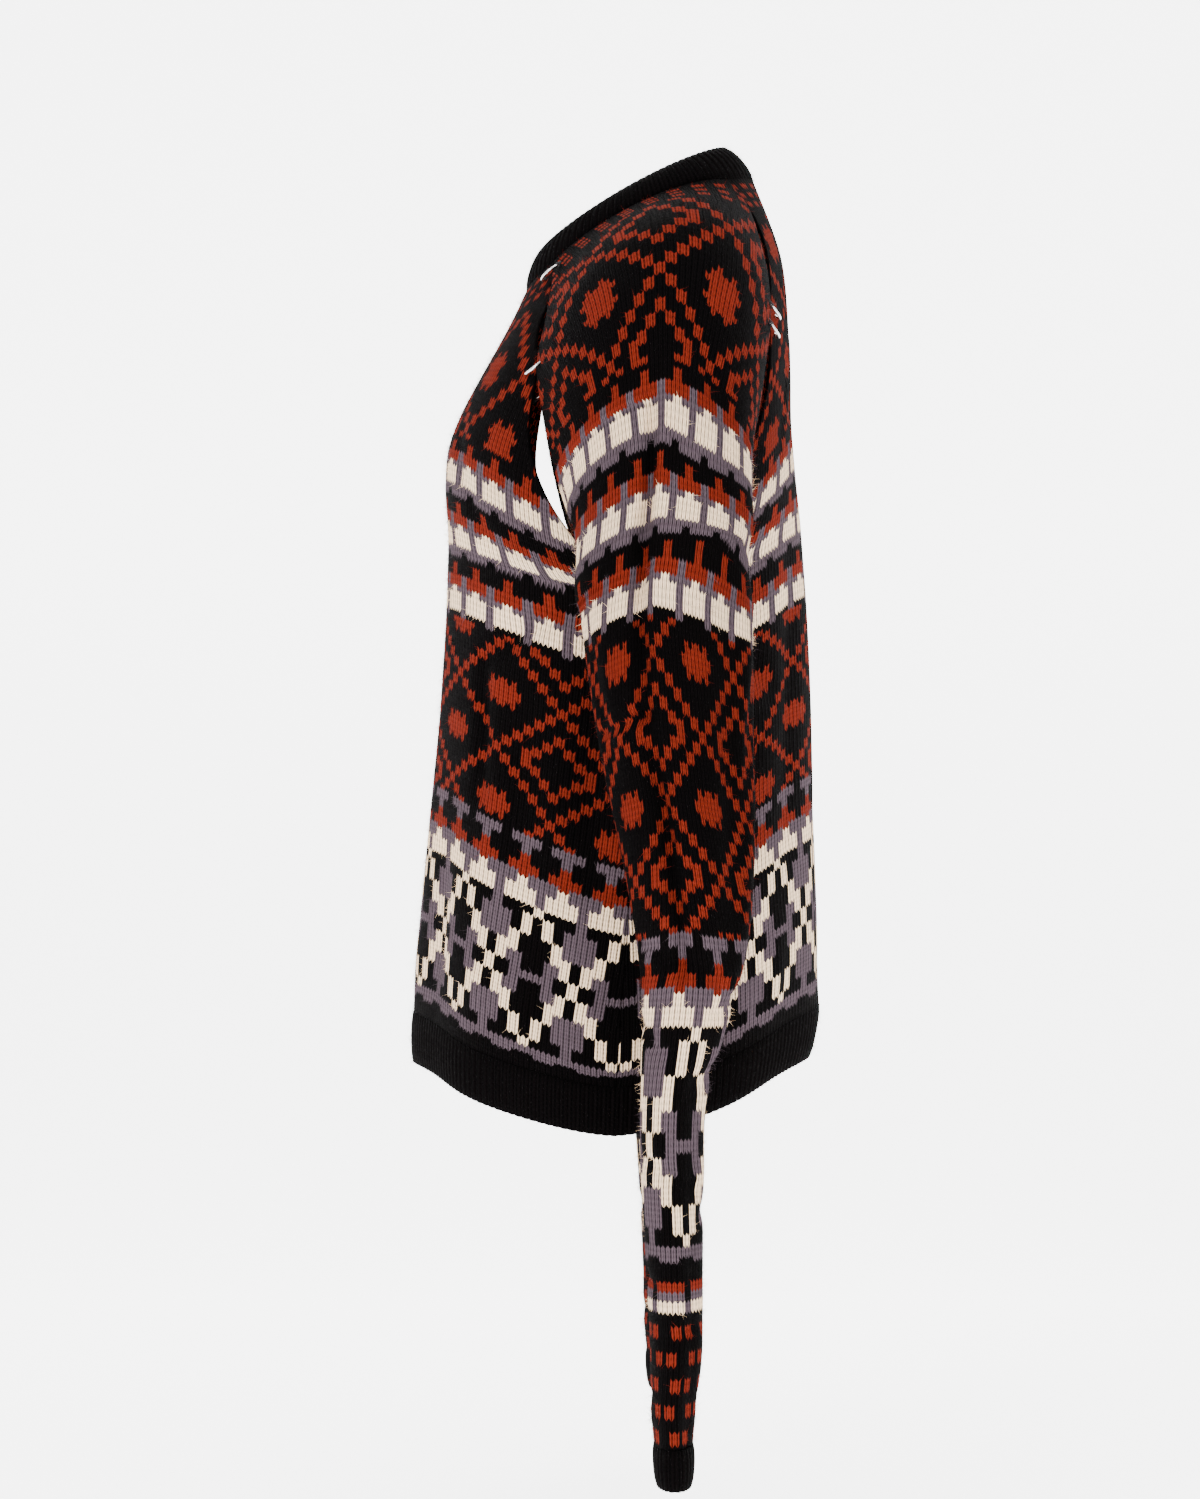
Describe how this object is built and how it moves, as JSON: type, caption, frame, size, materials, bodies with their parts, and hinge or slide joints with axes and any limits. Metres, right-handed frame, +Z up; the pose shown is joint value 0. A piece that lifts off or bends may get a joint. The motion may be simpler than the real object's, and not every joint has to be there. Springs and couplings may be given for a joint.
{
  "type": "sweater",
  "caption": "Long loose knit pullover with raglan sleeves, open raglan seams held by steel rings, and ribbed neck, hem and cuffs, in its worn hollow form.",
  "frame": {"origin": "middle of the neck at the height of the shoulder line, where the wearer holds it up", "axes": "+Z up, -Y towards the front, +X towards the wearer's left"},
  "size_m": [0.5306, 0.327, 1.0259],
  "materials": {
    "jacquard_knit": "soft brushed jacquard knit in black, rust, grey and cream yarn",
    "black_rib": "ribbed knit in black yarn",
    "ring_steel": "polished"
  },
  "bodies": {
    "root": {"front": "jacquard_knit", "back": "jacquard_knit", "sleeve_left": "jacquard_knit", "sleeve_right": "jacquard_knit", "neckband": "black_rib", "hem_rib": "black_rib", "cuff_left": "black_rib", "cuff_right": "black_rib", "ring_front_left_1": "ring_steel", "ring_front_left_2": "ring_steel", "ring_back_left_1": "ring_steel", "ring_back_left_2": "ring_steel", "ring_front_right_1": "ring_steel", "ring_front_right_2": "ring_steel", "ring_back_right_1": "ring_steel", "ring_back_right_2": "ring_steel"}
  },
  "joints": []
}
